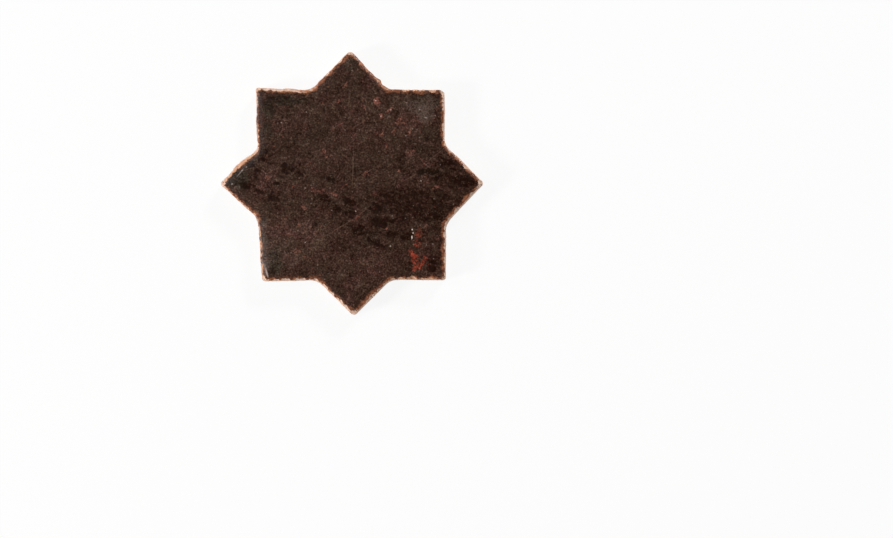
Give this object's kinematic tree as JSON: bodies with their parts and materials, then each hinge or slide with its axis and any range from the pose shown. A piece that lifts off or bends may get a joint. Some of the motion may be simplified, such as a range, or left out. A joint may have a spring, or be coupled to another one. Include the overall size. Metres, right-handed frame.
{
  "type": "glazed star tile",
  "caption": "Star-shaped fired clay tile with a dark brown glazed face, bare clay sides and a flat back, laid between cross-shaped tiles on walls and floors.",
  "frame": {"origin": "middle of the back, on the plane that the tile rests on", "axes": "+Z out of the glazed face, +X towards the right point and +Y towards the top point as the face is seen"},
  "size_m": [0.1474, 0.1482, 0.015],
  "materials": {
    "glazed_clay": "dark brown mottled satin-gloss glaze on the face, thinned to rust brown over the arris; bare pinkish buff clay on the sides and back"
  },
  "bodies": {
    "root": {"star_tile": "glazed_clay"}
  },
  "joints": []
}
